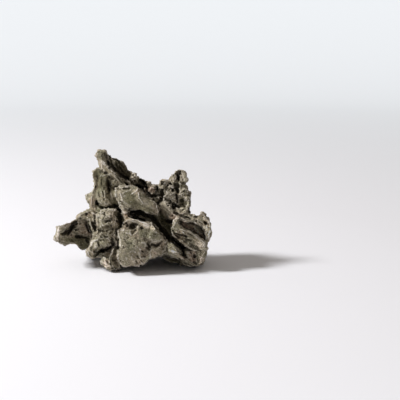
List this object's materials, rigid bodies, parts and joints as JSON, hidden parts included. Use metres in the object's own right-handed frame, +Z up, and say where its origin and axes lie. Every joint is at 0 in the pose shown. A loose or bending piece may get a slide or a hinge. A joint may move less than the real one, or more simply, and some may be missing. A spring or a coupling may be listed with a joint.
{
  "type": "seiryu stone",
  "caption": "Craggy piece of layered grey limestone with a horn, ledges, pits and a dark cleft, for hardscape in an aquarium, terrarium or rock garden.",
  "frame": {"origin": "on the surface that the stone rests on, under the middle of its length and depth", "axes": "+X towards the stone's right end as it is seen from its front, +Y away from the viewer, +Z up"},
  "size_m": [0.155, 0.1034, 0.1174],
  "materials": {
    "stone": "matte"
  },
  "bodies": {
    "root": {"stone": "stone"}
  },
  "joints": []
}
